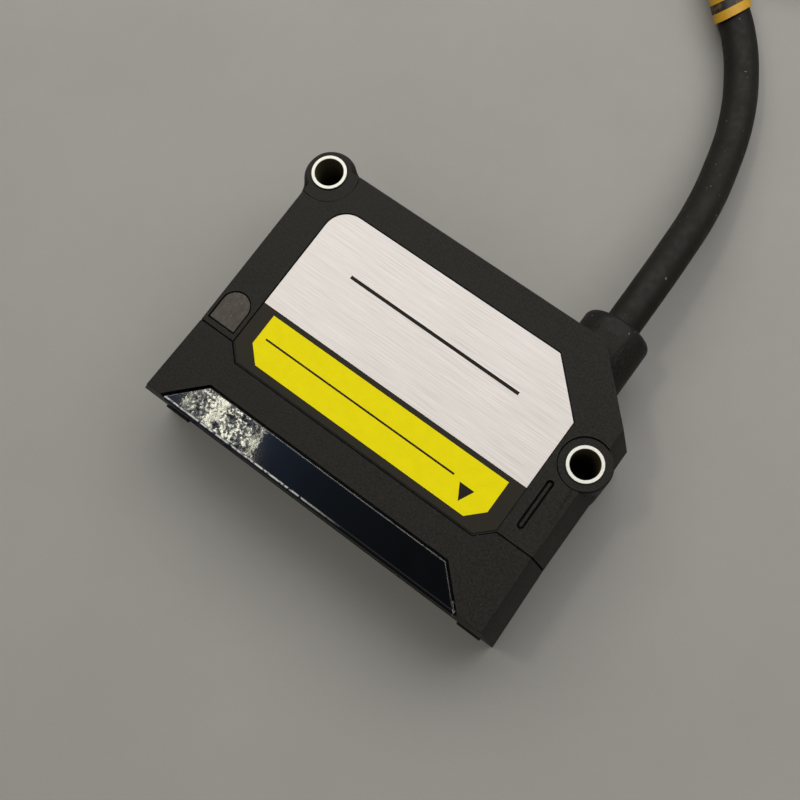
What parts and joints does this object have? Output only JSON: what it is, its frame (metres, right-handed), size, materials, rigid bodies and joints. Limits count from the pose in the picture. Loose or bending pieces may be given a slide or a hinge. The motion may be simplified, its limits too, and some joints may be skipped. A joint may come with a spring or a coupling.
{
  "type": "laser displacement sensor",
  "caption": "Flat box-shaped laser displacement sensor head with a dark front window, label face, mounting ears with metal collars, and a short looped cable ending in a round plug.",
  "frame": {"origin": "on the flat mounting face at the back, under the middle of the label face", "axes": "+X along the front edge, +Y from the window to the cable, +Z out of the label face"},
  "size_m": [0.1047, 0.1915, 0.02],
  "materials": {
    "case_plastic": "fine grained",
    "bezel_plastic": "fine grained",
    "cover_plastic": "fine grained",
    "collar_steel": "bright",
    "seal_rubber": "dull",
    "window_plastic": "polished",
    "indicator_smoke": "satin",
    "led_body": "dull",
    "nameplate_metal": "brushed along the width",
    "label_dark": "satin print",
    "label_yellow": "satin print",
    "screw_steel": "bright",
    "base_alloy": "machined",
    "black_alloy": "dark anodised",
    "diode_metal": "bright",
    "optical_glass": "polished",
    "shield_plastic": "dull",
    "chip_plastic": "dull",
    "board_laminate": "satin",
    "socket_plastic": "dull",
    "wire_jacket": "satin",
    "bush_rubber": "dull",
    "cable_jacket": "satin",
    "sleeve_vinyl": "striped",
    "tie_plastic": "satin",
    "plug_plastic": "satin",
    "plug_metal": "bright",
    "insert_plastic": "dull",
    "contact_metal": "bright"
  },
  "bodies": {
    "root": {"main_case": "case_plastic", "collar_left": "collar_steel", "collar_right": "collar_steel", "front_bezel": "bezel_plastic", "bezel_seal": "seal_rubber", "front_window": "window_plastic", "window_seal": "seal_rubber", "indicator_lens": "indicator_smoke", "indicator_led": "led_body", "nameplate": "nameplate_metal", "lower_label": "label_dark", "yellow_label": "label_yellow", "back_cover": "cover_plastic", "cover_seal": "seal_rubber", "cover_screws": "screw_steel", "optical_base": "base_alloy", "laser_holder": "base_alloy", "laser_diode": "diode_metal", "laser_board": "board_laminate", "collimator_barrel": "black_alloy", "collimator_lens": "optical_glass", "light_shield": "shield_plastic", "receiver_mount": "black_alloy", "receiver_lens": "optical_glass", "image_sensor": "chip_plastic", "sensor_board": "board_laminate", "main_board": "board_laminate", "processor": "chip_plastic", "board_screws": "screw_steel", "cable_socket": "socket_plastic", "cable_wires": "wire_jacket", "cable_ferrule": "screw_steel", "cable_bush": "bush_rubber", "cable": "cable_jacket", "cable_sleeve": "sleeve_vinyl", "cable_tie": "tie_plastic", "plug_body": "plug_plastic", "plug_nose": "plug_metal", "plug_insert": "insert_plastic", "plug_contacts": "contact_metal"}
  },
  "joints": []
}
